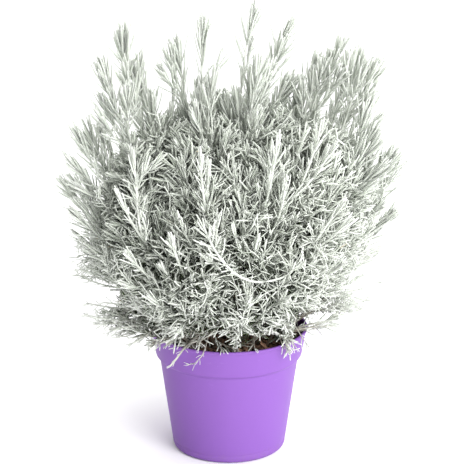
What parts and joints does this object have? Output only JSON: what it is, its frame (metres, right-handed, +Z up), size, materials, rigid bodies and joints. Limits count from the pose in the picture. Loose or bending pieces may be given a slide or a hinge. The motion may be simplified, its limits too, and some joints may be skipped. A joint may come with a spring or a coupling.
{
  "type": "potted cushion bush",
  "caption": "Silver needle-leaved cushion bush: many upright leafy stems fanning out of potting soil in a tapered plastic nursery pot with a deep collar.",
  "frame": {"origin": "middle of the pot's flat underside, on the ground", "axes": "+Z straight up the pot's axis and the plant's longest extent; the pictured side faces -Y; +X to the right of the picture"},
  "size_m": [0.2962, 0.2871, 0.3792],
  "materials": {
    "pot": "satin",
    "soil": "matte",
    "foliage": "matte"
  },
  "bodies": {
    "root": {"pot": "pot", "soil": "soil", "leafy_stem_01": "foliage", "leafy_stem_02": "foliage", "leafy_stem_03": "foliage", "leafy_stem_04": "foliage", "leafy_stem_05": "foliage", "leafy_stem_06": "foliage", "leafy_stem_07": "foliage", "leafy_stem_08": "foliage", "leafy_stem_09": "foliage", "leafy_stem_10": "foliage", "leafy_stem_11": "foliage", "leafy_stem_12": "foliage", "leafy_stem_13": "foliage", "leafy_stem_14": "foliage", "leafy_stem_15": "foliage", "leafy_stem_16": "foliage", "leafy_stem_17": "foliage", "leafy_stem_18": "foliage", "leafy_stem_19": "foliage", "leafy_stem_20": "foliage", "leafy_stem_21": "foliage", "leafy_stem_22": "foliage", "leafy_stem_23": "foliage", "leafy_stem_24": "foliage", "leafy_stem_25": "foliage", "leafy_stem_26": "foliage", "leafy_stem_27": "foliage", "leafy_stem_28": "foliage", "leafy_stem_29": "foliage", "leafy_stem_30": "foliage", "leafy_stem_31": "foliage", "leafy_stem_32": "foliage", "leafy_stem_33": "foliage", "leafy_stem_34": "foliage", "leafy_stem_35": "foliage", "leafy_stem_36": "foliage", "leafy_stem_37": "foliage", "leafy_stem_38": "foliage", "leafy_stem_39": "foliage", "leafy_stem_40": "foliage", "leafy_stem_41": "foliage", "leafy_stem_42": "foliage", "leafy_stem_43": "foliage", "leafy_stem_44": "foliage", "leafy_stem_45": "foliage", "leafy_stem_46": "foliage", "leafy_stem_47": "foliage", "leafy_stem_48": "foliage", "leafy_stem_49": "foliage", "leafy_stem_50": "foliage", "leafy_stem_51": "foliage", "leafy_stem_52": "foliage"}
  },
  "joints": []
}
